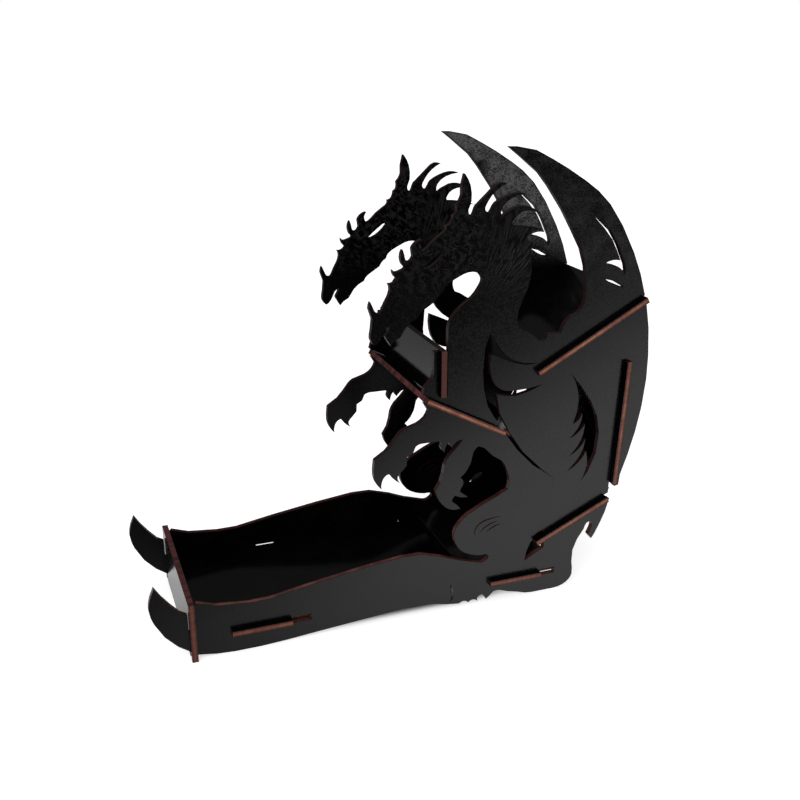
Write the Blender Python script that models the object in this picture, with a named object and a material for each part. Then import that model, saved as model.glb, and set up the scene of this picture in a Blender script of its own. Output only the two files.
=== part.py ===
"""Dice tower: slotted sheets of fibreboard between two identical dragon-shaped side panels.

Metres, +Z up. The origin lies on the table, midway between the panels and midway along them.
The tray is towards -X and the tower's back towards +X. Dice go in between the necks and the
wings, tumble down three ramps and roll out into the tray.
"""
import math

import bmesh
import bpy
from mathutils import Vector
from mathutils.geometry import tessellate_polygon

# Sheet, panels and fit
SHEET = 0.0032
PANEL_LENGTH = 0.278
PANEL_HEIGHT = 0.250
CLEAR_WIDTH = 0.082
EAR_REACH = 0.0032
GAP = 0.0003
SLOT_MOUTH = 0.012

# Cross plates: how far the sheet runs on between the panels past its ears
UPPER_RAMP_RUN_ON = 0.010
MIDDLE_RAMP_RUN_ON = 0.0315
BACK_WALL_MOUTH = 0.0035
FRONT_WALL_PLAY = 0.0015
FLOOR_HOOK = 0.008
END_PLATE_HEIGHT = 0.033
END_PLATE_REACH = 0.003
END_PLATE_LAP = 0.016

# Small cuts
NOSTRIL_RADIUS = 0.0006
KNEE_CUT_WIDTH = 0.0008
TOE_CUT_WIDTH = 0.0017
CUT_TIP = 0.0001

# Facets of the curved edges
TURN_PER_FACET = math.radians(17)
CUT_FACETS = 8

# Colours
BLACK_FACE = (0.030, 0.030, 0.034)
ROUGHNESS = 0.42

# Places along the panel's length and up its height, from its front bottom corner.
# A plate's ears lie along the line between its two places.
UPPER_RAMP_SHARES = ((.755, .532), (.983, .669))
MIDDLE_RAMP_SHARES = ((.529, .501), (.688, .407))
EXIT_RAMP_SHARES = ((.767, .130), (.925, .210))
BACK_WALL_SHARES = ((.938, .246), (.953, .533))
FRONT_WALL_SHARES = ((.560, .506), (.560, .605))
END_PLATE_SHARE = .074
FLOOR_LEVEL_SHARE = .048
FLOOR_END_SHARE = .830
FLOOR_EARS_SHARES = ((.145, .259), (.667, .779))
FLOOR_SLOT_ENDS_SHARES = (.299, .815)

# The panel's outline as smooth runs. A row starts where the row before it ended, passes
# through its points and ends in a corner. The loop starts at the tip of the horn.
HORN_TIP_SHARE = (.599, .953)
BROW_SHARES = (
    ((.594, .930), (.594, .912), (.590, .902), (.584, .894)),
    ((.585, .887), (.584, .880), (.578, .874)),
    ((.577, .866), (.572, .857), (.565, .855)),
    ((.565, .847), (.557, .840), (.541, .827), (.530, .815), (.520, .809), (.515, .816), (.519, .832)),
    ((.508, .826), (.501, .815), (.503, .800), (.496, .791), (.489, .795), (.487, .805), (.484, .815)),
    ((.480, .799), (.483, .786), (.488, .779), (.480, .774), (.471, .772), (.465, .777)),
    ((.468, .764), (.473, .758), (.467, .751), (.457, .750)),
)
SNOUT_SHARES = (
    ((.460, .743), (.457, .724), (.450, .710), (.439, .692), (.433, .696), (.429, .704), (.424, .717)),
    ((.421, .703), (.427, .682), (.425, .660), (.423, .642), (.431, .629), (.442, .640), (.449, .657),
     (.458, .665)),
    ((.456, .654), (.451, .644), (.456, .634), (.461, .624)),
    ((.468, .633), (.479, .640), (.490, .659), (.500, .669), (.512, .676)),
    ((.515, .683), (.526, .693), (.546, .707)),
    ((.550, .715), (.560, .724)),
)
THROAT_SHARES = (
    ((.564, .734), (.581, .747), (.600, .757), (.618, .760), (.631, .754), (.637, .742), (.631, .726),
     (.618, .708), (.600, .694), (.584, .678), (.574, .660), (.5715, .645)),
    ((.5715, .602),),
    ((.544, .602),),
    ((.544, .560),),
    ((.541, .546), (.533, .536), (.526, .527), (.523, .515), (.520, .503)),
    ((.534, .477),),
)
BIG_ARM_SHARES = (
    ((.527, .462), (.513, .451), (.499, .446), (.486, .442), (.475, .432), (.464, .416), (.450, .399),
     (.428, .383)),
    ((.426, .362), (.426, .349), (.430, .333), (.441, .316)),
    ((.442, .333), (.449, .345), (.456, .348), (.462, .339), (.478, .324)),
    ((.473, .339), (.482, .351), (.491, .362), (.492, .380), (.504, .388), (.509, .401), (.520, .406)),
    ((.556, .406),),
    ((.562, .401), (.560, .392), (.567, .379)),
    ((.570, .393), (.577, .403)),
    ((.577, .397), (.582, .388)),
    ((.589, .397), (.596, .402), (.605, .402)),
)
SMALL_ARM_SHARES = (
    ((.592, .385), (.578, .370), (.568, .350), (.565, .330), (.560, .311), (.550, .293)),
    ((.556, .272), (.570, .252), (.584, .243), (.602, .2425)),
    ((.593, .254), (.584, .262), (.590, .275)),
    ((.603, .269), (.617, .267)),
    ((.607, .276), (.600, .284), (.607, .298), (.606, .309), (.600, .315)),
    ((.614, .330), (.622, .347), (.627, .371), (.637, .382)),
)
LEG_SHARES = (
    ((.650, .376), (.668, .355), (.688, .340), (.698, .319), (.706, .289), (.7035, .2706)),
    ((.679, .2566), (.650, .243), (.620, .226), (.600, .2065), (.5895, .185), (.592, .163), (.604, .141),
     (.624, .127), (.648, .120), (.661, .1195), (.6655, .113), (.656, .1025), (.640, .1035)),
)
TRAY_WALL_SHARES = (
    ((.600, .117), (.565, .133), (.520, .148), (.480, .149), (.400, .139), (.300, .123),
     (.220, .108), (.180, .1075), (.120, .1145), (.085, .128)),
    ((.067, .104),),
)
CLAW_SHARES = (
    ((.055, .112), (.040, .131), (.025, .153), (.012, .177)),
    ((.004, .156), (0, .130), (.007, .0985), (.024, .064), (.046, .037), (.067, .020), (.071, .0105)),
    ((.085, .0085), (.115, .003), (.150, 0)),
    ((.200, 0),),
)
UNDERSIDE_SHARES = (
    ((.250, .003), (.320, .009), (.400, .0155), (.480, .022), (.545, .020), (.575, .012), (.603, .0075)),
    ((.613, .012), (.623, .006)),
    ((.632, .011), (.644, .0045)),
    ((.643, .013), (.650, .0195), (.662, .006)),
    ((.668, .011), (.678, .0215), (.692, .022), (.710, .0145), (.732, .0084), (.750, .002), (.766, 0)),
    ((.815, 0),),
)
HEEL_SHARES = (
    ((.837, .005), (.851, .0155), (.857, .028), (.855, .060), (.856, .090), (.865, .1155), (.879, .1385),
     (.885, .153), (.894, .155), (.898, .147), (.895, .134), (.890, .122)),
    ((.898, .111),),
    ((.9045, .1215), (.917, .149), (.9265, .1735), (.932, .195), (.9345, .2125), (.9305, .222),
     (.932, .232)),
    ((.9535, .2365),),
)
BACK_SHARES = (
    ((.956, .262), (.970, .307), (.984, .363), (.994, .420), (1, .485), (1, .540), (.9955, .603),
     (.986, .660), (.968, .724), (.950, .771), (.921, .8305), (.8915, .8765), (.865, .905), (.838, .9265),
     (.801, .9525), (.768, .973), (.7355, .9915), (.702, .999), (.682, 1)),
)
WING_SHARES = (
    ((.704, .981), (.7415, .947), (.762, .9195), (.793, .8706), (.816, .827), (.8355, .788),
     (.8465, .750), (.8516, .700), (.848, .668), (.837, .652), (.823, .647)),
    ((.811, .633), (.802, .613)),
    ((.774, .614),),
    ((.768, .601), (.760, .599), (.747, .612), (.731, .624), (.714, .632)),
)
NAPE_SHARES = (
    ((.709, .652), (.718, .690), (.731, .722), (.735, .752), (.731, .797)),
    ((.751, .795), (.776, .781)),
    ((.757, .7985), (.735, .808), (.7225, .8195), (.735, .832), (.7625, .831)),
    ((.740, .840), (.715, .8445), (.692, .850), (.699, .8645), (.724, .8745), (.747, .867)),
    ((.729, .881), (.700, .883), (.683, .8745), (.671, .867), (.670, .8785), (.681, .895), (.702, .905),
     (.719, .908)),
    ((.702, .911), (.680, .905), (.659, .893), (.646, .8745), (.639, .881), (.645, .899), (.660, .918),
     (.679, .9305)),
    ((.668, .932), (.646, .914), (.622, .8895), (.613, .8715), (.607, .877), (.612, .900), (.610, .930),
     (.599, .953)),
)
OUTLINE_SHARES = (
    BROW_SHARES + SNOUT_SHARES + THROAT_SHARES + BIG_ARM_SHARES + SMALL_ARM_SHARES + LEG_SHARES
    + TRAY_WALL_SHARES + CLAW_SHARES + UNDERSIDE_SHARES + HEEL_SHARES + BACK_SHARES + WING_SHARES
    + NAPE_SHARES
)

# Cuts through the panel, each a first corner and rows like the outline's
EYE_SHARES = (
    (.520, .773),
    ((.531, .774), (.547, .784), (.562, .801)),
    ((.557, .804), (.546, .797), (.532, .785), (.520, .773)),
)
WING_CUT_SHARES = (
    (.850, .863),
    ((.871, .846), (.896, .821), (.914, .790), (.927, .759), (.9345, .7355), (.932, .7255)),
    ((.924, .739), (.9085, .7485), (.886, .752)),
    ((.904, .759), (.921, .757)),
    ((.913, .777), (.9005, .803), (.882, .828), (.864, .848), (.850, .863)),
)
WING_TIP_CUT_SHARES = (
    (.891, .720),
    ((.910, .714), (.933, .699)),
    ((.921, .7005), (.905, .7095), (.891, .720)),
)
CHEST_CUT_SHARES = (
    (.656, .630),
    ((.646, .600), (.6425, .550), (.645, .510), (.654, .470), (.6685, .443), (.696, .397), (.720, .360),
     (.759, .314), (.804, .278)),
    ((.774, .307), (.732, .354), (.702, .4035), (.680, .449), (.672, .4934)),
    ((.690, .488), (.712, .4845), (.740, .491), (.771, .504)),
    ((.738, .498), (.712, .497), (.688, .500), (.669, .514), (.658, .545), (.658, .583)),
    ((.680, .572), (.706, .5585), (.732, .551), (.758, .552)),
    ((.730, .5555), (.705, .565), (.675, .595), (.656, .630)),
)
FEATHER_CUT_SHARES = (
    (.829, .520),
    ((.852, .490), (.876, .452), (.893, .412), (.900, .370), (.896, .325), (.880, .283), (.853, .244)),
    ((.870, .273), (.8765, .302), (.873, .332)),
    ((.858, .309), (.832, .290)),
    ((.853, .314), (.866, .340), (.870, .363)),
    ((.856, .341), (.834, .326)),
    ((.854, .350), (.864, .375), (.867, .398)),
    ((.852, .379), (.832, .368)),
    ((.849, .387), (.858, .407), (.859, .425)),
    ((.850, .408), (.839, .402)),
    ((.846, .425), (.849, .453), (.844, .487), (.829, .520)),
)
HOCK_CUT_SHARES = (
    (.7885, .155),
    ((.772, .151), (.757, .129), (.745, .085)),
    ((.766, .098), (.788, .110)),
    ((.7885, .155),),
)
NOSTRIL_SHARE = (.435, .675)

# Centre lines of the thin cuts that taper to both ends
KNEE_CUTS_SHARES = (
    ((.634, .171), (.634, .184), (.645, .199), (.664, .2055), (.687, .208)),
    ((.644, .176), (.655, .187), (.682, .1975)),
    ((.658, .174), (.668, .182), (.690, .189)),
)
TOE_CUT_SHARES = ((.5835, .060), (.587, .042), (.588, .026), (.582, .016))

# Derived sizes
INNER_FACE = CLEAR_WIDTH / 2
OUTER_FACE = INNER_FACE + SHEET
EAR_TIP = OUTER_FACE + EAR_REACH
BODY_SIDE = INNER_FACE - GAP
HALF_SHEET = SHEET / 2
HALF_SLOT = HALF_SHEET + GAP


def spot(share):
    """The place in the side view, x and z, of a share of the panel's length and height."""
    return Vector(((share[0] - 0.5) * PANEL_LENGTH, share[1] * PANEL_HEIGHT))


def along(share):
    """The place along X of a share of the panel's length."""
    return spot((share, 0)).x


def directions(points):
    """The curve's direction at each point of a run, from the parabola through its neighbours."""
    chords = [end - start for start, end in zip(points, points[1:])]
    inner = []
    for before, after in zip(chords, chords[1:]):
        blend = before.normalized() * after.length + after.normalized() * before.length
        inner.append(blend / (before.length + after.length))
    first = 2 * chords[0].normalized() - inner[0]
    last = 2 * chords[-1].normalized() - inner[-1]
    return [first, *inner, last]


def smooth_run(points):
    """Points along a smooth curve through a run's points, closer together where it turns more."""
    if len(points) < 3:
        return list(points)
    run = [points[0]]
    slopes = directions(points)
    for start, end, leave, arrive in zip(points, points[1:], slopes, slopes[1:]):
        reach = (end - start).length / 3
        pull, push = start + leave * reach, end - arrive * reach
        steps = max(1, math.ceil(leave.angle(arrive) / TURN_PER_FACET))
        for step in range(1, steps + 1):
            t = step / steps
            s = 1 - t
            run.append(s**3 * start + 3 * s * s * t * pull + 3 * s * t * t * push + t**3 * end)
    return run


def closed_loop(first_share, rows):
    """A closed outline: rows of smooth runs, the first from the given corner, the last back to it."""
    loop = []
    corner = spot(first_share)
    for row in rows:
        run = smooth_run([corner] + [spot(share) for share in row])
        loop += run[:-1]
        corner = run[-1]
    return loop


def tapered_cut(line_shares, width):
    """The outline of a thin cut along a smooth line, widest in its middle."""
    line = smooth_run([spot(share) for share in line_shares])
    lengths = [0.0]
    for start, end in zip(line, line[1:]):
        lengths.append(lengths[-1] + (end - start).length)
    left, right = [], []
    for index, point in enumerate(line):
        ahead = line[min(index + 1, len(line) - 1)]
        behind = line[max(index - 1, 0)]
        side = (ahead - behind).normalized().orthogonal()
        half = CUT_TIP + (width / 2 - CUT_TIP) * math.sin(math.pi * lengths[index] / lengths[-1])
        left.append(point + side * half)
        right.append(point - side * half)
    return left + right[::-1]


def round_cut(centre_share, radius):
    """The outline of a small round hole."""
    centre = spot(centre_share)
    turns = [2 * math.pi * index / CUT_FACETS for index in range(CUT_FACETS)]
    return [centre + radius * Vector((math.cos(turn), math.sin(turn))) for turn in turns]


def sheet_mesh(name, outline, holes=()):
    """A flat piece in the local XY plane, centred on the sheet's thickness, with its holes."""
    loops = [[Vector((*point, -HALF_SHEET)) for point in loop] for loop in (outline, *holes)]
    bm = bmesh.new()
    lower = [bm.verts.new(point) for loop in loops for point in loop]
    for corners in tessellate_polygon(loops):
        bm.faces.new([lower[index] for index in corners])
    extruded = bmesh.ops.extrude_face_region(bm, geom=bm.faces[:])["geom"]
    upper = [item for item in extruded if isinstance(item, bmesh.types.BMVert)]
    bmesh.ops.translate(bm, verts=upper, vec=(0, 0, SHEET))
    bmesh.ops.recalc_face_normals(bm, faces=bm.faces[:])
    mesh = bpy.data.meshes.new(name)
    bm.to_mesh(mesh)
    bm.free()
    return mesh


def black_board(name):
    """Black-faced fibreboard with a satin finish."""
    material = bpy.data.materials.new(name)
    material.use_nodes = True
    shader = material.node_tree.nodes["Principled BSDF"]
    shader.inputs["Base Color"].default_value = (*BLACK_FACE, 1)
    shader.inputs["Roughness"].default_value = ROUGHNESS
    shader.inputs["Metallic"].default_value = 0
    return material


def place(name, mesh, location, rotation):
    """A named object with its mesh, its place in the tower and its own material."""
    piece = bpy.data.objects.new(name, mesh)
    piece.location = location
    piece.rotation_euler = rotation
    bpy.context.collection.objects.link(piece)
    if not mesh.materials:
        mesh.materials.append(None)
    piece.material_slots[0].link = "OBJECT"
    piece.material_slots[0].material = black_board(name)
    return piece


class PlateLine:
    """The line that a cross plate's ears lie along, seen from the side."""

    def __init__(self, line_shares):
        self.start = spot(line_shares[0])
        run = spot(line_shares[1]) - self.start
        self.length = run.length
        self.slope = math.atan2(run.y, run.x)

    def place_plate(self, name, body, ears):
        """The plate between the panels over the body's run, with an ear on each side."""
        side = [(ears[0], EAR_TIP), (ears[1], EAR_TIP)]
        if body[0] != ears[0]:
            side = [(body[0], BODY_SIDE), (ears[0], BODY_SIDE)] + side
        if body[1] != ears[1]:
            side += [(ears[1], BODY_SIDE), (body[1], BODY_SIDE)]
        outline = side + [(u, -v) for u, v in reversed(side)]
        location = (self.start.x, 0, self.start.y)
        place(name, sheet_mesh(name, outline), location, (0, -self.slope, 0))

    def slot(self, bm, start, end):
        """Adds the slot for the plate's ears to the cutter, from start to end along the line."""
        step = Vector((math.cos(self.slope), 0, math.sin(self.slope)))
        normal = Vector((-step.z, 0, step.x))
        origin = Vector((self.start.x, 0, self.start.y))
        middle = origin + step * (start + end) / 2
        sizes = (step * (end - start), Vector((0, 2 * EAR_TIP, 0)), normal * 2 * HALF_SLOT)
        box(bm, middle, sizes)


def box(bm, middle, sizes):
    """Adds a closed box with the given middle and three edge vectors."""
    cube = bmesh.ops.create_cube(bm, size=1)["verts"]
    for vert in cube:
        vert.co = middle + sizes[0] * vert.co.x + sizes[1] * vert.co.y + sizes[2] * vert.co.z
    faces = {face for vert in cube for face in vert.link_faces}
    bmesh.ops.recalc_face_normals(bm, faces=list(faces))


def upright_box(bm, low, high):
    """Adds a closed box between two opposite corners."""
    low, high = Vector(low), Vector(high)
    size = high - low
    box(bm, (low + high) / 2, (Vector((size.x, 0, 0)), Vector((0, size.y, 0)), Vector((0, 0, size.z))))


def upper_ramp(cutter):
    """The first ramp: its ears slide into slots that open at the panels' back edge."""
    line = PlateLine(UPPER_RAMP_SHARES)
    line.place_plate("upper_ramp", (-UPPER_RAMP_RUN_ON, line.length), (0, line.length))
    line.slot(cutter, -GAP, line.length + SLOT_MOUTH)


def middle_ramp(cutter):
    """The second ramp: its slots open at the front edge, under the front wall."""
    line = PlateLine(MIDDLE_RAMP_SHARES)
    line.place_plate("middle_ramp", (0, line.length + MIDDLE_RAMP_RUN_ON), (0, line.length))
    line.slot(cutter, -SLOT_MOUTH, line.length + GAP)


def exit_ramp(cutter):
    """The last ramp: its slots open at the back and it runs down to just above the floor."""
    line = PlateLine(EXIT_RAMP_SHARES)
    floor_top = FLOOR_LEVEL_SHARE * PANEL_HEIGHT + HALF_SHEET
    low_end = floor_top + GAP + HALF_SHEET * math.cos(line.slope)
    run_on = (line.start.y - low_end) / math.sin(line.slope)
    line.place_plate("exit_ramp", (-run_on, line.length), (0, line.length))
    line.slot(cutter, -GAP, line.length + SLOT_MOUTH)


def back_wall(cutter):
    """The wall behind the ramps, pushed up into slots that open at a step in the back edge."""
    line = PlateLine(BACK_WALL_SHARES)
    line.place_plate("back_wall", (0, line.length), (0, line.length))
    line.slot(cutter, -BACK_WALL_MOUTH, line.length + GAP)


def front_wall(cutter):
    """The wall under the heads: it drops in behind a post and reaches down to the middle ramp."""
    line = PlateLine(FRONT_WALL_SHARES)
    ramp = PlateLine(MIDDLE_RAMP_SHARES)
    front = line.start.x - HALF_SHEET
    half_rise = HALF_SHEET / math.cos(ramp.slope)
    ramp_top = ramp.start.y + (front - ramp.start.x) * math.tan(ramp.slope) + half_rise
    run_on = line.start.y - ramp_top - GAP
    line.place_plate("front_wall", (-run_on, line.length), (0, line.length))
    low = (front - GAP, -EAR_TIP, line.start.y - GAP)
    high = (front + SHEET + GAP + FRONT_WALL_PLAY, EAR_TIP, line.start.y + line.length + GAP)
    upright_box(cutter, low, high)


def floor_plate(cutter):
    """The floor: two hooked ears on each side go through longer slots and slide forward."""
    level = FLOOR_LEVEL_SHARE * PANEL_HEIGHT
    hook_face = OUTER_FACE + GAP
    front = along(END_PLATE_SHARE) + HALF_SHEET + GAP
    side = [(front, BODY_SIDE)]
    for (ear_start, ear_end), slot_end in zip(FLOOR_EARS_SHARES, FLOOR_SLOT_ENDS_SHARES):
        tip, heel = along(ear_start), along(ear_end)
        neck = tip + FLOOR_HOOK
        side += [(neck, BODY_SIDE), (neck, hook_face), (tip, hook_face), (tip, EAR_TIP),
                 (heel, EAR_TIP), (heel, BODY_SIDE)]
        low = (neck - GAP, -EAR_TIP, level - HALF_SLOT)
        high = (along(slot_end), EAR_TIP, level + HALF_SLOT)
        upright_box(cutter, low, high)
    side.append((along(FLOOR_END_SHARE), BODY_SIDE))
    outline = side + [(x, -y) for x, y in reversed(side)]
    place("floor_plate", sheet_mesh("floor_plate", outline), (0, 0, level), (0, 0, 0))


def tray_end_plate(cutter):
    """The plate across the front of the tray, half-lapped with both panels behind their claws."""
    lap = END_PLATE_LAP
    inner, outer = INNER_FACE - GAP, OUTER_FACE + GAP
    side = [(0, inner), (lap + GAP / 2, inner), (lap + GAP / 2, outer), (0, outer),
            (0, OUTER_FACE + END_PLATE_REACH), (END_PLATE_HEIGHT, OUTER_FACE + END_PLATE_REACH)]
    outline = side + [(z, -y) for z, y in reversed(side)]
    middle = along(END_PLATE_SHARE)
    place("tray_end_plate", sheet_mesh("tray_end_plate", outline), (middle, 0, 0), (0, -math.pi / 2, 0))
    low = (middle - HALF_SLOT, -EAR_TIP, lap - GAP / 2)
    upright_box(cutter, low, (middle + HALF_SLOT, EAR_TIP, END_PLATE_HEIGHT + GAP))


def side_panels(slots):
    """The two dragon panels, one mesh, slotted for the cross plates."""
    cuts = [closed_loop(rows[0], rows[1:]) for rows in (
        EYE_SHARES, WING_CUT_SHARES, WING_TIP_CUT_SHARES, CHEST_CUT_SHARES, FEATHER_CUT_SHARES,
        HOCK_CUT_SHARES)]
    cuts += [tapered_cut(line, KNEE_CUT_WIDTH) for line in KNEE_CUTS_SHARES]
    cuts.append(tapered_cut(TOE_CUT_SHARES, TOE_CUT_WIDTH))
    cuts.append(round_cut(NOSTRIL_SHARE, NOSTRIL_RADIUS))
    mesh = sheet_mesh("side_panel", closed_loop(HORN_TIP_SHARE, OUTLINE_SHARES), cuts)
    for name, side in (("near_side_panel", -1), ("far_side_panel", 1)):
        location = (0, side * (INNER_FACE + HALF_SHEET), 0)
        panel = place(name, mesh, location, (math.pi / 2, 0, 0))
        slotting = panel.modifiers.new("slots", "BOOLEAN")
        slotting.operation = "DIFFERENCE"
        slotting.solver = "EXACT"
        slotting.object = slots


def slot_cutter(bm):
    """The hidden body that cuts every slot of both panels."""
    mesh = bpy.data.meshes.new("panel_slots")
    bm.to_mesh(mesh)
    bm.free()
    cutter = bpy.data.objects.new("panel_slots", mesh)
    cutter.hide_render = True
    cutter.display_type = "WIRE"
    bpy.context.collection.objects.link(cutter)
    return cutter


def build():
    for leftover in list(bpy.data.objects):
        bpy.data.objects.remove(leftover)
    slots = bmesh.new()
    upper_ramp(slots)
    middle_ramp(slots)
    exit_ramp(slots)
    back_wall(slots)
    front_wall(slots)
    floor_plate(slots)
    tray_end_plate(slots)
    side_panels(slot_cutter(slots))


build()
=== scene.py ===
"""Looks of the dragon dice tower: black-faced fibreboard with scorched red-brown cut edges."""
import math

import bpy
import numpy as np
from mathutils import Matrix, Vector


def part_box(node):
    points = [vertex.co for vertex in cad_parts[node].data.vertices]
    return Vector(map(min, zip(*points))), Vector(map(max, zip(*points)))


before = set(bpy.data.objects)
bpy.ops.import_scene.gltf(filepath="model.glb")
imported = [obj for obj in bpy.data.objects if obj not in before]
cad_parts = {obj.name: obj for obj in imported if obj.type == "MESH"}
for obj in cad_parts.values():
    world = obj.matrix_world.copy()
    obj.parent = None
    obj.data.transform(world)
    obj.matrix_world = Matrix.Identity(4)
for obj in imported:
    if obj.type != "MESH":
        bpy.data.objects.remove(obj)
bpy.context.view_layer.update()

# Sizes that the frame gives, in metres
PANEL_LOW, PANEL_HIGH = (Vector(corner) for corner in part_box("near_side_panel"))
PANEL_LENGTH = PANEL_HIGH.x - PANEL_LOW.x
PANEL_HEIGHT = PANEL_HIGH.z - PANEL_LOW.z

# Camera, fitted to the edges of the side panels in the photograph
CAMERA_PLACE = (-0.1723, -0.5004, 0.3031)
CAMERA_AZIMUTH = math.radians(20.016)
CAMERA_DOWN = math.radians(19.917)
CAMERA_ROLL = math.radians(-0.160)
CAMERA_LENS = 45.955
SENSOR_WIDTH = 36

# Satin black faces. A span is where a noise, or how squarely a surface faces, fades from 0 to 1.
FACE_DARK = (0.0004, 0.0004, 0.0005)
FACE_LIGHT = (0.0020, 0.0020, 0.0021)
PANEL_ROUGHNESS = (0.18, 0.30)
RAMP_ROUGHNESS = (0.09, 0.15)
FIBRE_SIZE = 0.0012
PORE_SIZE = 0.00035
CLOUD_SIZE = 0.016
FACE_RELIEF = 0.000014
PORE_SHARE = 0.5
MOTTLE_SPAN = (0.15, 0.40)
NOISE_SPAN = (0.3, 0.7)
FACING_SPAN = (0.80, 0.95)
FLAT_FACING = 0.99
SEED_STEP = 0.37
SEED_SPREAD = (1.0, 1.7, 0.6)

# Cut edges. For each cross plate, how pale the core is on the ends of its ears, where the paleness is
# partly painted light, and how red its long edges are.
SCORCHED = (0.006, 0.0022, 0.0020)
EDGE_ROUGHNESS = (0.30, 0.46)
PLATE_EDGE_ROUGHNESS = (0.50, 0.66)
PLATE_SCORCH = ((0.0, 0.70), (0.74, 0.98))
PANEL_SCORCH = ((0.4, 0.95), (0.85, 1.05))
EDGE_RELIEF = 0.00003
STREAK_WIDTH = 0.0017
STREAK_LENGTH = 0.012
BURN_SIZE = 0.008
# The ends of the ears are paler where they face the bright table: painted light over their own
# scorched core.
LIT_PALE_CORE = (0.385, 0.150, 0.082)
RED_CORE = (0.080, 0.013, 0.006)
LONG_EDGE = (0.125, 0.016, 0.013)
PLATE_EDGES = {"middle_ramp": (1.0, 1.0), "upper_ramp": (0.88, 0.35), "exit_ramp": (0.75, 0.35),
               "back_wall": (0.60, 0.3), "floor_plate": (0.42, 0.35), "tray_end_plate": (0.28, 0.75),
               "front_wall": (0.0, 0.15)}
# Side panel edges: the red is their own scorch; paler low edges are painted light, darker high edges
# partly painted shade, and the far panel's darker low edges painted shade.
LIT_LOW_PANEL_EDGE = {"near_side_panel": (0.135, 0.042, 0.030), "far_side_panel": (0.040, 0.006, 0.006)}
HIGH_PANEL_EDGE = (0.019, 0.0036, 0.0042)
PALING_HEIGHTS = (0.15, 0.36)
UNEVEN_SCORCH = 0.12
SCORCH_SPAN = (0.25, 0.75)
LONG_EDGE_SPAN = (0.38, 0.56)
EAR_SPAN = (0.5, 0.8)
EAR_PATCH_SPAN = (0.36, 0.64)
EAR_PATCHINESS = 0.55
PANEL_PATCH_SPAN = (0.35, 0.65)
PANEL_PATCHINESS = 0.6

# Engraved areas of a side panel: net-like scales on the head, feather strokes down the neck
# and grain on the wing. Places are shares of the panel's length and height, sizes are metres.
# The two panels are the same plate. Their tones, low edges and gloss differ here to stand in for
# the light in the photograph, where the near panel shades the far one.
ENGRAVED_FROM = (0.665, 0.79)
WING_FROM = (0.765, 0.79)
WING_TIP_FROM = ((0.66, 0.675), (0.925, 0.945))
HEAD_TO_NECK = (0.61, 0.69)
THROAT_SHARE = (0.600, 0.700)
STROKE_RING = 0.050
SCALE_SIZE = 0.0034
STROKE_WIDTH = 0.0021
STROKE_LENGTH = 0.0090
STROKE_TURN = math.radians(68)
STROKE_SPAN = (0.40, 0.62)
NET_LINE_SPAN = (0.04, 0.20)
NET_PATCH_SPAN = (0.35, 0.6)
WARP_SIZE = 1.5 * SCALE_SIZE
WARP_SPAN = (0.2, 0.8)
WARP_DIRECTION = (1, 0, -0.7)
ENGRAVED_DEPTH = 0.000045
# The far panel's lighter engraved tones are painted light.
ENGRAVED_TONES_AND_PAINTED_LIGHT = {"near_side_panel": ((0.0001, 0.0001, 0.0001), (0.0090, 0.0087, 0.0087)),
                  "far_side_panel": ((0.0001, 0.0001, 0.0001), (0.0130, 0.0126, 0.0126))}
ENGRAVED_ROUGHNESS = 0.22
PLAIN_RIM = 0.0014
RIM_SPAN = (0.93, 0.998)
RIM_SAMPLES = 6
WING_GRAIN_SIZE = 0.0009
WING_CLOUD_SIZE = 0.007
WING_GRAIN_SHARE = 0.6
WING_CLOUD_SHARE = 0.4
WING_SPAN = (0.39, 0.61)
# The far panel's much lighter wing tones are a painted reflection; the near panel's are its grain.
WING_TONES_AND_PAINTED_LIGHT = {"near_side_panel": ((0.0001, 0.0001, 0.0001), (0.0175, 0.0175, 0.0179)),
              "far_side_panel": ((0.0180, 0.0180, 0.0186), (0.1160, 0.1160, 0.1190))}
GLOSS = {"near_side_panel": 0.5, "far_side_panel": 0.17}

# Studio. Levels are brightnesses, with 1 as white. The table's fades are places on it in metres,
# and the zenith's is how far up a direction points.
DIFFUSE_LEVEL = 0.70
REFLECTED_SKY = 0.04
REFLECTED_ZENITH = 0.35
ZENITH_FADE = (0.45, 0.95)
TABLE_SIZE = 6.0
TABLE_WHITE = 0.80
TABLE_ROUGHNESS = 0.9
TABLE_GLOSS = 0.1
SEEN_GLOW = 0.60
REFLECTED_GLOW = 0.42
REFLECTED_FAR_TABLE = 0.03
FRONT_FADE = (-0.32, -0.06)
FRONT_FADE_SLOPE = 0.8
BACK_FADE = (0.06, 0.50)
BACK_LEVEL = 0.32
LEFT_FADE = (-0.16, 0.08)
LEFT_LEVEL = 0.44
LEFT_BACK_LEVEL = 0.65
LEFT_ENDS = (-0.01, 0.03)
# Where the tray covers the table its glow is left off, as painted shade.
COVERED_LENGTH = (0.03, 0.08)
COVERED_WIDTH = (0.036, 0.042)
LAMP_PLACE = (-0.9, -1.1, 0.9)
LAMP_TARGET = (0, 0, 0.1)
LAMP_SIZE = 1.2
LAMP_POWER = 9


def link(tree, source, target):
    tree.links.new(source, target)


def feed(tree, value, socket):
    """Gives a socket a number, a vector, a colour or another node's result."""
    if isinstance(value, bpy.types.NodeSocket):
        link(tree, value, socket)
    elif socket.type == "RGBA":
        socket.default_value = (*value, 1)
    else:
        socket.default_value = value


def math_node(tree, operation, first, second=0.0):
    """A Math node's result."""
    node = tree.nodes.new("ShaderNodeMath")
    node.operation = operation
    feed(tree, first, node.inputs[0])
    feed(tree, second, node.inputs[1])
    return node.outputs[0]


def product(tree, first, second):
    return math_node(tree, "MULTIPLY", first, second)


def inverse(tree, value):
    """One less a value."""
    return math_node(tree, "SUBTRACT", 1.0, value)


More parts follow.
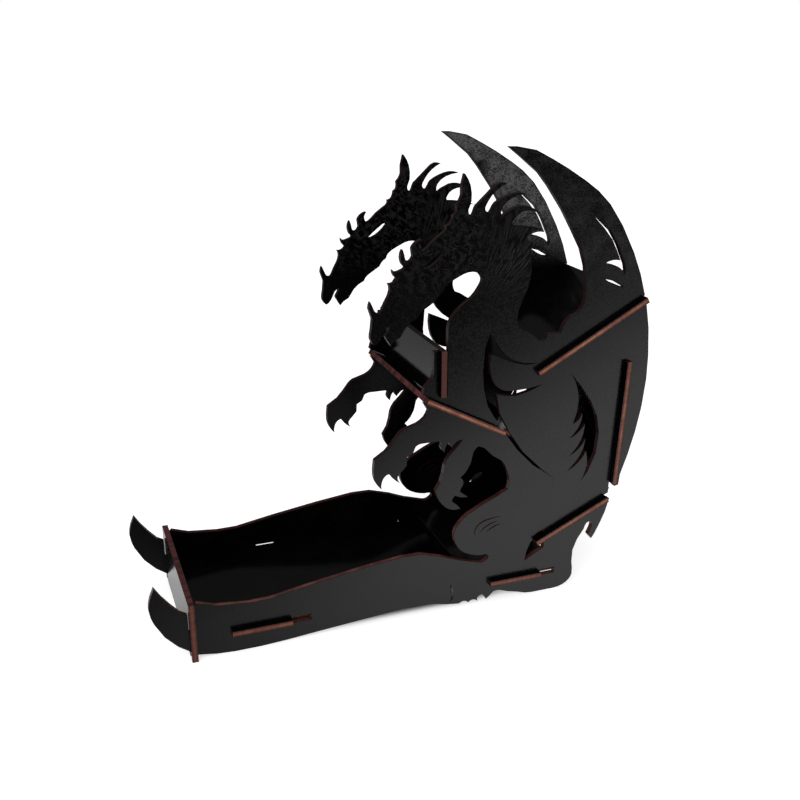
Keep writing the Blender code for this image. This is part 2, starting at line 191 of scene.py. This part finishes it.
def vector_node(tree, operation, first, second):
    """A Vector Math node on two vectors."""
    node = tree.nodes.new("ShaderNodeVectorMath")
    node.operation = operation
    feed(tree, first, node.inputs[0])
    feed(tree, second, node.inputs[1])
    return node


def vector_sum(tree, first, second):
    return vector_node(tree, "ADD", first, second).outputs["Vector"]


def dot(tree, first, second):
    return vector_node(tree, "DOT_PRODUCT", first, second).outputs["Value"]


def scaled(tree, direction, length):
    """A fixed direction times a varying length."""
    node = tree.nodes.new("ShaderNodeVectorMath")
    node.operation = "SCALE"
    feed(tree, direction, node.inputs[0])
    feed(tree, length, node.inputs["Scale"])
    return node.outputs["Vector"]


def fade(tree, value, span, first=0.0, last=1.0):
    """First below the span, last above it, smooth between."""
    node = tree.nodes.new("ShaderNodeMapRange")
    node.interpolation_type = "SMOOTHSTEP"
    feed(tree, value, node.inputs["Value"])
    node.inputs["From Min"].default_value = span[0]
    node.inputs["From Max"].default_value = span[1]
    node.inputs["To Min"].default_value = first
    node.inputs["To Max"].default_value = last
    return node.outputs["Result"]


def mix_colour(tree, factor, first, second):
    """Blend of two colours, each a tuple or another node's result."""
    node = tree.nodes.new("ShaderNodeMix")
    node.data_type = "RGBA"
    feed(tree, factor, node.inputs["Factor"])
    feed(tree, first, node.inputs["A"])
    feed(tree, second, node.inputs["B"])
    return node.outputs["Result"]


def mix_value(tree, factor, first, second):
    """Blend of two numbers."""
    node = tree.nodes.new("ShaderNodeMix")
    feed(tree, factor, node.inputs["Factor"])
    feed(tree, first, node.inputs["A"])
    feed(tree, second, node.inputs["B"])
    return node.outputs["Result"]


def noise(tree, place, size, detail=3.0, roughness=0.55):
    """Noise with features of about the given size."""
    node = tree.nodes.new("ShaderNodeTexNoise")
    node.inputs["Scale"].default_value = 1 / size
    node.inputs["Detail"].default_value = detail
    node.inputs["Roughness"].default_value = roughness
    link(tree, place, node.inputs["Vector"])
    return node.outputs["Fac"]


def plate_axis(node):
    """The unit normal of a plate's faces, and how far its two faces lie along it."""
    mesh = node.data
    normals = np.zeros(len(mesh.polygons) * 3)
    areas = np.zeros(len(mesh.polygons))
    mesh.polygons.foreach_get("normal", normals)
    mesh.polygons.foreach_get("area", areas)
    normals = normals.reshape(-1, 3)
    biggest = normals[areas.argmax()]
    sides = normals @ biggest
    flat = abs(sides) > FLAT_FACING
    total = ((normals * np.sign(sides)[:, None])[flat] * areas[flat, None]).sum(0)
    axis = Vector(total).normalized()
    depths = [vert.co.dot(axis) for vert in mesh.vertices]
    return axis, min(depths), max(depths)


class Board:
    """A plate's material as it is put together: its tree, places and masks."""

    def __init__(self, node, seed):
        self.material = bpy.data.materials.new(node.name + "_board")
        self.material.use_nodes = True
        self.tree = self.material.node_tree
        self.shader = self.tree.nodes["Principled BSDF"]
        self.axis, low, high = plate_axis(node)
        self.object_place = self.tree.nodes.new("ShaderNodeTexCoord").outputs["Object"]
        self.normal = self.tree.nodes.new("ShaderNodeNewGeometry").outputs["True Normal"]
        shift = tuple(seed * part for part in SEED_SPREAD)
        self.place = vector_sum(self.tree, self.object_place, shift)
        self.depth = dot(self.tree, self.object_place, tuple(self.axis))
        middle = math_node(self.tree, "SUBTRACT", self.depth, (low + high) / 2)
        side_share = math_node(self.tree, "DIVIDE", middle, (high - low) / 2)
        self.edge_share = math_node(self.tree, "ABSOLUTE", side_share)

    def facing(self, direction):
        """How squarely the surface faces along a direction, either way: 0 to 1."""
        return math_node(self.tree, "ABSOLUTE", dot(self.tree, self.normal, tuple(direction)))

    def plain_face(self, roughness):
        """Paint over fine fibres: colour, roughness and height."""
        tree = self.tree
        fibres = noise(tree, self.place, FIBRE_SIZE, detail=4.0, roughness=0.6)
        clouds = noise(tree, self.place, CLOUD_SIZE)
        mottle = product(tree, fibres, clouds)
        colour = mix_colour(tree, fade(tree, mottle, MOTTLE_SPAN), FACE_DARK, FACE_LIGHT)
        rough = fade(tree, fibres, NOISE_SPAN, *roughness)
        pores = noise(tree, self.place, PORE_SIZE, detail=2.0)
        bumps = math_node(tree, "ADD", fibres, product(tree, pores, PORE_SHARE))
        return colour, rough, product(tree, bumps, FACE_RELIEF)

    def streaks(self):
        """Two noises drawn out through the sheet's thickness, fine and coarse."""
        tree = self.tree
        flat = vector_sum(tree, self.place, scaled(tree, tuple(-self.axis), self.depth))
        drawn_out = product(tree, self.depth, STREAK_WIDTH / STREAK_LENGTH)
        place = vector_sum(tree, flat, scaled(tree, tuple(self.axis), drawn_out))
        return (noise(tree, place, STREAK_WIDTH, detail=4.0, roughness=0.65),
                noise(tree, place, BURN_SIZE, detail=3.0, roughness=0.5))

    def scorch(self, core, rim, streaks, spans):
        """A core colour that darkens unevenly towards both faces and chars along them."""
        tree = self.tree
        waver = fade(tree, streaks, SCORCH_SPAN, -UNEVEN_SCORCH, UNEVEN_SCORCH)
        uneven = math_node(tree, "ADD", self.edge_share, waver)
        colour = mix_colour(tree, fade(tree, uneven, spans[0]), core, rim)
        return mix_colour(tree, fade(tree, uneven, spans[1]), colour, SCORCHED)

    def inside_rim(self):
        """1 on a face, fading to 0 beside its outline."""
        bevel = self.tree.nodes.new("ShaderNodeBevel")
        bevel.samples = RIM_SAMPLES
        bevel.inputs["Radius"].default_value = PLAIN_RIM
        return fade(self.tree, dot(self.tree, bevel.outputs["Normal"], self.normal), RIM_SPAN)

    def finish(self, face, edge):
        """Joins the face's and the edge's colour, roughness and height in the shader."""
        tree = self.tree
        is_face = fade(tree, self.facing(self.axis), FACING_SPAN)
        link(tree, mix_colour(tree, is_face, edge[0], face[0]), self.shader.inputs["Base Color"])
        link(tree, mix_value(tree, is_face, edge[1], face[1]), self.shader.inputs["Roughness"])
        bump = tree.nodes.new("ShaderNodeBump")
        bump.inputs["Distance"].default_value = 1.0
        link(tree, mix_value(tree, is_face, edge[2], face[2]), bump.inputs["Height"])
        link(tree, bump.outputs["Normal"], self.shader.inputs["Normal"])
        return self.material


def cross_plate_board(node, seed):
    """A ramp, wall or floor: glossy black, with pale cores on the ends of its ears, partly painted
    light.
    """
    board = Board(node, seed)
    tree = board.tree
    streaks, burns = board.streaks()
    paleness, redness = PLATE_EDGES[node.name]
    pale = tuple(red + paleness * (light - red) for red, light in zip(RED_CORE, LIT_PALE_CORE))
    patchy = mix_colour(tree, fade(tree, burns, EAR_PATCH_SPAN), RED_CORE, pale)
    lit_ear_core = mix_colour(tree, EAR_PATCHINESS, pale, patchy)
    red = tuple(redness * part for part in LONG_EDGE)
    long_core = mix_colour(tree, fade(tree, streaks, LONG_EDGE_SPAN), SCORCHED, red)
    # Ear ends face the bright table, so their paler core is partly painted light.
    on_lit_ear = fade(tree, board.facing((0, 1, 0)), EAR_SPAN)
    core = mix_colour(tree, on_lit_ear, long_core, lit_ear_core)
    rim = mix_colour(tree, on_lit_ear, long_core, RED_CORE)
    colour = board.scorch(core, rim, streaks, PLATE_SCORCH)
    rough = fade(tree, streaks, NOISE_SPAN, *PLATE_EDGE_ROUGHNESS)
    edge = (colour, rough, product(tree, streaks, EDGE_RELIEF))
    return board.finish(board.plain_face(RAMP_ROUGHNESS), edge)


def panel_shares(board):
    """Where a point of a side panel lies along the panel's length and up its height."""
    tree = board.tree
    split = tree.nodes.new("ShaderNodeSeparateXYZ")
    link(tree, board.object_place, split.inputs[0])
    across = math_node(tree, "SUBTRACT", split.outputs["X"], PANEL_LOW.x)
    return (math_node(tree, "DIVIDE", across, PANEL_LENGTH),
            math_node(tree, "DIVIDE", split.outputs["Z"], PANEL_HEIGHT))


def stroke_noise(board, across, height):
    """Noise drawn out along strokes that sweep out from the throat."""
    tree = board.tree
    x = product(tree, math_node(tree, "SUBTRACT", across, THROAT_SHARE[0]), PANEL_LENGTH)
    z = product(tree, math_node(tree, "SUBTRACT", height, THROAT_SHARE[1]), PANEL_HEIGHT)
    turn = math_node(tree, "ARCTAN2", z, x)
    reach = math_node(tree, "SQRT", math_node(tree, "ADD", product(tree, x, x), product(tree, z, z)))
    reach = math_node(tree, "LOGARITHM", math_node(tree, "DIVIDE", reach, STROKE_RING), math.e)
    cosine, sine = math.cos(STROKE_TURN), math.sin(STROKE_TURN)
    lengthwise = math_node(tree, "ADD", product(tree, turn, cosine), product(tree, reach, sine))
    crosswise = math_node(tree, "SUBTRACT", product(tree, reach, cosine), product(tree, turn, sine))
    place = tree.nodes.new("ShaderNodeCombineXYZ")
    link(tree, product(tree, lengthwise, STROKE_RING / STROKE_LENGTH), place.inputs["X"])
    link(tree, product(tree, crosswise, STROKE_RING / STROKE_WIDTH), place.inputs["Y"])
    return noise(tree, place.outputs["Vector"], 1.0, detail=2.0, roughness=0.5)


def scale_net(board):
    """The raised net between small scales, 1 on the net."""
    tree = board.tree
    waves = noise(tree, board.place, WARP_SIZE, detail=2.0)
    warp = scaled(tree, WARP_DIRECTION, fade(tree, waves, WARP_SPAN, -SCALE_SIZE, SCALE_SIZE))
    cells = tree.nodes.new("ShaderNodeTexVoronoi")
    cells.feature = "DISTANCE_TO_EDGE"
    cells.inputs["Scale"].default_value = 1 / SCALE_SIZE
    link(tree, vector_sum(tree, board.place, warp), cells.inputs["Vector"])
    return fade(tree, cells.outputs["Distance"], NET_LINE_SPAN, 1.0, 0.0)


def side_panel_board(node, seed):
    """A dragon: satin black with an engraved head, neck and wing, and dark red cut edges."""
    board = Board(node, seed)
    tree = board.tree
    across, height = panel_shares(board)
    colour, rough, relief = board.plain_face(PANEL_ROUGHNESS)
    board.shader.inputs["Specular IOR Level"].default_value = GLOSS[node.name]

    # The engraving lies on the face towards -Y
    front = fade(tree, dot(tree, board.normal, (0, -1, 0)), FACING_SPAN)
    above = product(tree, product(tree, fade(tree, height, ENGRAVED_FROM), front), board.inside_rim())
    tip = product(tree, fade(tree, across, WING_TIP_FROM[0]), fade(tree, height, WING_TIP_FROM[1]))
    wing = math_node(tree, "MAXIMUM", fade(tree, across, WING_FROM), tip)
    on_wing = product(tree, above, wing)
    on_neck = product(tree, above, inverse(tree, wing))

    strokes = fade(tree, stroke_noise(board, across, height), STROKE_SPAN)
    patches = fade(tree, noise(tree, board.place, SCALE_SIZE), NET_PATCH_SPAN)
    net = product(tree, scale_net(board), patches)
    pattern = mix_value(tree, fade(tree, across, HEAD_TO_NECK), net, inverse(tree, strokes))
    # On the far panel these engraved tones carry painted light.
    engraved = mix_colour(tree, pattern, *ENGRAVED_TONES_AND_PAINTED_LIGHT[node.name])
    colour = mix_colour(tree, on_neck, colour, engraved)
    rough = mix_value(tree, on_neck, rough, ENGRAVED_ROUGHNESS)
    carving = product(tree, product(tree, pattern, on_neck), ENGRAVED_DEPTH)
    relief = math_node(tree, "ADD", relief, carving)

    grain = noise(tree, board.place, WING_GRAIN_SIZE, detail=2.0, roughness=0.7)
    clouds = noise(tree, board.place, WING_CLOUD_SIZE, detail=4.0, roughness=0.6)
    grain = product(tree, grain, WING_GRAIN_SHARE)
    clouds = product(tree, clouds, WING_CLOUD_SHARE)
    mottle = fade(tree, math_node(tree, "ADD", grain, clouds), WING_SPAN)
    # On the far panel the wing's mottle carries a painted reflection.
    wing_colour = mix_colour(tree, mottle, *WING_TONES_AND_PAINTED_LIGHT[node.name])
    colour = mix_colour(tree, on_wing, colour, wing_colour)
    rough = mix_value(tree, on_wing, rough, ENGRAVED_ROUGHNESS)

    streaks, burns = board.streaks()
    lit_low_edge = LIT_LOW_PANEL_EDGE[node.name]
    patchy = mix_colour(tree, fade(tree, burns, PANEL_PATCH_SPAN), HIGH_PANEL_EDGE, lit_low_edge)
    lit_low_core = mix_colour(tree, PANEL_PATCHINESS, lit_low_edge, patchy)
    # Paler low on the panel and darker high up: painted light and painted shade over the edges' own
    # scorch.
    core = mix_colour(tree, fade(tree, height, PALING_HEIGHTS), lit_low_core, HIGH_PANEL_EDGE)
    edge_colour = board.scorch(core, HIGH_PANEL_EDGE, streaks, PANEL_SCORCH)
    edge_rough = fade(tree, streaks, NOISE_SPAN, *EDGE_ROUGHNESS)
    edge = (edge_colour, edge_rough, product(tree, streaks, EDGE_RELIEF))
    return board.finish((colour, rough, relief), edge)


def dress(nodes):
    """Gives every plate its own board material."""
    for index, (name, node) in enumerate(sorted(nodes.items())):
        seed = SEED_STEP * (index + 1)
        make_board = side_panel_board if name.endswith("side_panel") else cross_plate_board
        material = make_board(node, seed)
        if not node.material_slots:
            node.data.materials.append(material)
        for slot in node.material_slots:
            slot.material = material


def table_level(tree):
    """How bright the table looks in reflections: less far in front, behind and to the left."""
    split = tree.nodes.new("ShaderNodeSeparateXYZ")
    link(tree, tree.nodes.new("ShaderNodeNewGeometry").outputs["Position"], split.inputs[0])
    x, y = split.outputs["X"], split.outputs["Y"]
    sloped = math_node(tree, "ADD", y, product(tree, x, FRONT_FADE_SLOPE))
    front = fade(tree, sloped, FRONT_FADE, REFLECTED_FAR_TABLE, 1.0)
    back = fade(tree, y, BACK_FADE, 1.0, BACK_LEVEL)
    left = fade(tree, x, LEFT_FADE, LEFT_LEVEL, 1.0)
    left = mix_value(tree, fade(tree, y, LEFT_ENDS), left, LEFT_BACK_LEVEL)
    return product(tree, product(tree, front, back), left)


def under_tray_shade(tree):
    """1 on the part of the table that the tray and its floor cover, where the glow is left off as
    painted shade.
    """
    split = tree.nodes.new("ShaderNodeSeparateXYZ")
    link(tree, tree.nodes.new("ShaderNodeNewGeometry").outputs["Position"], split.inputs[0])
    low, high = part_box("tray_end_plate")
    along = product(tree, fade(tree, split.outputs["X"], (low[0], high[0])),
                    fade(tree, split.outputs["X"], COVERED_LENGTH, 1.0, 0.0))
    across = fade(tree, math_node(tree, "ABSOLUTE", split.outputs["Y"]), COVERED_WIDTH, 1.0, 0.0)
    return product(tree, along, across)


def table_material():
    """A matt white table that looks pure white to the camera and graded in reflections, with painted
    shade where the tray covers it.
    """
    material = bpy.data.materials.new("white_table")
    material.use_nodes = True
    tree = material.node_tree
    shader = tree.nodes["Principled BSDF"]
    shader.inputs["Roughness"].default_value = TABLE_ROUGHNESS
    shader.inputs["Specular IOR Level"].default_value = TABLE_GLOSS
    shader.inputs["Emission Color"].default_value = (1, 1, 1, 1)
    path = tree.nodes.new("ShaderNodeLightPath")
    level = table_level(tree)
    white = (TABLE_WHITE,) * 3
    colour = mix_colour(tree, path.outputs["Is Glossy Ray"], white, scaled(tree, white, level))
    link(tree, colour, shader.inputs["Base Color"])
    seen = product(tree, path.outputs["Is Camera Ray"], SEEN_GLOW)
    # No glow where the tray covers the table: painted shade.
    seen = product(tree, seen, inverse(tree, under_tray_shade(tree)))
    mirrored = product(tree, path.outputs["Is Glossy Ray"], product(tree, level, REFLECTED_GLOW))
    link(tree, math_node(tree, "ADD", seen, mirrored), shader.inputs["Emission Strength"])
    return material


def add_table():
    """The white table that the tower stands on."""
    mesh = bpy.data.meshes.new("table")
    half = TABLE_SIZE / 2
    corners = [(-half, -half, 0), (half, -half, 0), (half, half, 0), (-half, half, 0)]
    mesh.from_pydata(corners, [], [(0, 1, 2, 3)])
    table = bpy.data.objects.new("table", mesh)
    bpy.context.scene.collection.objects.link(table)
    mesh.materials.append(table_material())


def light_world():
    """Soft even light from all sides, white to the camera and dim in reflections but overhead."""
    world = bpy.data.worlds.new("studio")
    bpy.context.scene.world = world
    world.use_nodes = True
    tree = world.node_tree
    background = tree.nodes["Background"]
    background.inputs["Color"].default_value = (1, 1, 1, 1)
    path = tree.nodes.new("ShaderNodeLightPath")
    split = tree.nodes.new("ShaderNodeSeparateXYZ")
    link(tree, tree.nodes.new("ShaderNodeTexCoord").outputs["Generated"], split.inputs[0])
    reflected = fade(tree, split.outputs["Z"], ZENITH_FADE, REFLECTED_SKY, REFLECTED_ZENITH)
    level = mix_value(tree, path.outputs["Is Glossy Ray"], DIFFUSE_LEVEL, reflected)
    level = mix_value(tree, path.outputs["Is Camera Ray"], level, 1.0)
    link(tree, level, background.inputs["Strength"])


def add_lamp():
    """A large soft lamp in front, to the left and above."""
    data = bpy.data.lights.new("soft_front", "AREA")
    data.shape = "SQUARE"
    data.size = LAMP_SIZE
    data.energy = LAMP_POWER
    data.specular_factor = 0
    lamp = bpy.data.objects.new("soft_front", data)
    lamp.location = LAMP_PLACE
    aim = Vector(LAMP_TARGET) - Vector(LAMP_PLACE)
    lamp.rotation_euler = aim.to_track_quat("-Z", "Y").to_euler()
    bpy.context.scene.collection.objects.link(lamp)


def add_camera():
    """The photograph's camera, level but for a very slight roll."""
    ahead = Vector((math.sin(CAMERA_AZIMUTH), math.cos(CAMERA_AZIMUTH), 0))
    forward = ahead * math.cos(CAMERA_DOWN) - Vector((0, 0, math.sin(CAMERA_DOWN)))
    right = Vector((math.cos(CAMERA_AZIMUTH), -math.sin(CAMERA_AZIMUTH), 0))
    up = right.cross(forward)
    turned = math.cos(CAMERA_ROLL) * right + math.sin(CAMERA_ROLL) * up
    up = math.cos(CAMERA_ROLL) * up - math.sin(CAMERA_ROLL) * right
    data = bpy.data.cameras.new("camera")
    data.lens = CAMERA_LENS
    data.sensor_width = SENSOR_WIDTH
    data.sensor_fit = "HORIZONTAL"
    camera = bpy.data.objects.new("camera", data)
    turn = Matrix((turned, up, -forward)).transposed()
    camera.matrix_world = Matrix.Translation(CAMERA_PLACE) @ turn.to_4x4()
    bpy.context.scene.collection.objects.link(camera)
    bpy.context.scene.camera = camera


bpy.context.scene.view_settings.view_transform = "Standard"
add_camera()
add_table()
light_world()
add_lamp()
dress(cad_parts)
